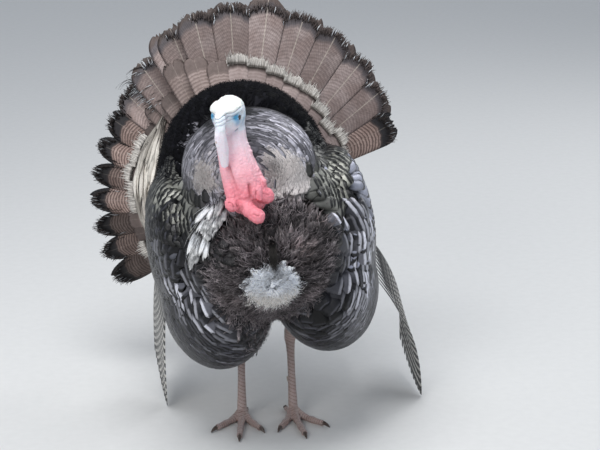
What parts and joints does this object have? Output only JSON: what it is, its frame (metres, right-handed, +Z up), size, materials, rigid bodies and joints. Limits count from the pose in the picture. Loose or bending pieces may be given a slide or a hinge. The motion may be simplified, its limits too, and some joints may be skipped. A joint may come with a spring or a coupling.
{
  "type": "wild turkey",
  "caption": "Male wild turkey standing in display: fanned tail, puffed body feathers, drooped wings, bare head and neck with snood and caruncles.",
  "frame": {"origin": "on the floor, under the middle of the bird's whole box", "axes": "+Z up; the bird faces -Y and its left side is towards +X"},
  "size_m": [0.5966, 0.6021, 0.699],
  "materials": {
    "black_feather": "glossy black contour feathers with a faint bronze edge",
    "bronze_feather": "bronze-green sheen with black feather edges",
    "wing_feather": "dark flight feathers barred with white",
    "tail_feather": "brown, finely barred, with a black band and a ragged tip",
    "covert_feather": "brown and cream, finely barred, soft tips",
    "red_skin": "moist wrinkled skin with small lumps",
    "face_skin": "white and pale blue wrinkled skin",
    "horn": "satin horn",
    "eye": "wet dark brown",
    "leg_scute": "brownish pink scutes",
    "claw": "dark horn"
  },
  "bodies": {
    "root": {"trunk": "black_feather", "crop": "black_feather", "mantle": "black_feather", "thigh_left": "black_feather", "thigh_right": "black_feather", "undertail": "black_feather", "beard": "black_feather", "wing_left": "bronze_feather", "wing_right": "bronze_feather", "rump": "bronze_feather", "primaries_left": "wing_feather", "primaries_right": "wing_feather", "secondaries_left": "wing_feather", "secondaries_right": "wing_feather", "tail": "tail_feather", "tail_coverts": "covert_feather", "head": "face_skin", "neck": "red_skin", "snood": "red_skin", "caruncles": "red_skin", "eye_left": "eye", "eye_right": "eye", "bill_upper": "horn", "bill_lower": "horn", "spur_left": "horn", "spur_right": "horn", "shank_left": "leg_scute", "shank_right": "leg_scute", "foot_left": "leg_scute", "foot_right": "leg_scute", "claw_inner_left": "claw", "claw_middle_left": "claw", "claw_outer_left": "claw", "claw_hind_left": "claw", "claw_inner_right": "claw", "claw_middle_right": "claw", "claw_outer_right": "claw", "claw_hind_right": "claw"}
  },
  "joints": []
}
